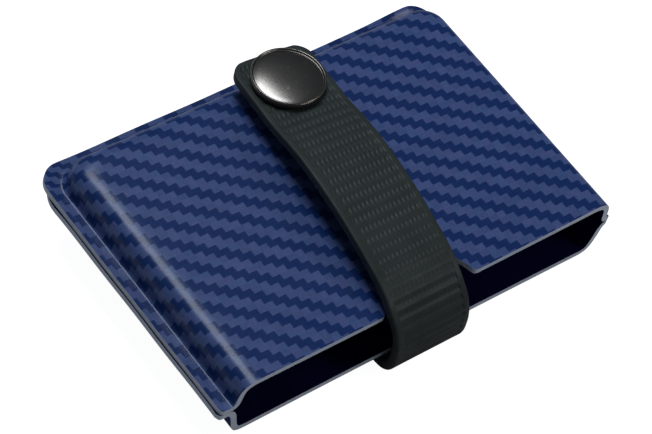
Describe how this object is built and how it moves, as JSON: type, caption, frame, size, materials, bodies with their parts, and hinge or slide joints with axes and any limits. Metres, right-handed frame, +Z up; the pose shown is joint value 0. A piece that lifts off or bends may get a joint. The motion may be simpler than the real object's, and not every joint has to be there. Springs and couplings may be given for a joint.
{
  "type": "card wallet",
  "caption": "Slim blue card wallet of moulded plastic shells, held shut by a ribbed strap with a round press snap",
  "frame": {"origin": "centre of the bounding box in plan, at the height of the strap's flat underside, which the wallet lies on", "axes": "+X along the long side, from the wide joined rim to the trimmed rim; +Y from the open side of the pocket to the closed back; +Z up, toward the snap"},
  "size_m": [0.097, 0.0673, 0.0268],
  "materials": {
    "twill_plastic": "navy blue, printed twill, satin",
    "strap_rubber": "charcoal, ribbed, matte",
    "gunmetal": "black nickel, polished",
    "spring_steel": "bright wire"
  },
  "bodies": {
    "wallet": {"upper_shell": "twill_plastic", "lower_shell": "twill_plastic", "strap_base": "strap_rubber", "anchor_rivet": "gunmetal", "snap_stud": "gunmetal", "stud_post": "gunmetal"},
    "strap_middle": {"strap_front": "strap_rubber"},
    "flap": {"strap_flap": "strap_rubber", "snap_cap": "gunmetal", "cap_post": "gunmetal", "snap_socket": "gunmetal", "socket_spring": "spring_steel"}
  },
  "joints": [
    {"name": "lower_fold", "type": "hinge", "parent": "wallet", "child": "strap_middle", "pos_m": [0, -0.03253, 0.0036], "axis": [1, 0, 0], "range_deg": [0, 90]},
    {"name": "upper_fold", "type": "hinge", "parent": "strap_middle", "child": "flap", "pos_m": [0, -0.02908, 0.02115], "axis": [1, 0, 0], "range_deg": [0, 90]}
  ],
  "couplings": [
    {"joint": "upper_fold", "follows": "lower_fold", "ratio": 1}
  ]
}
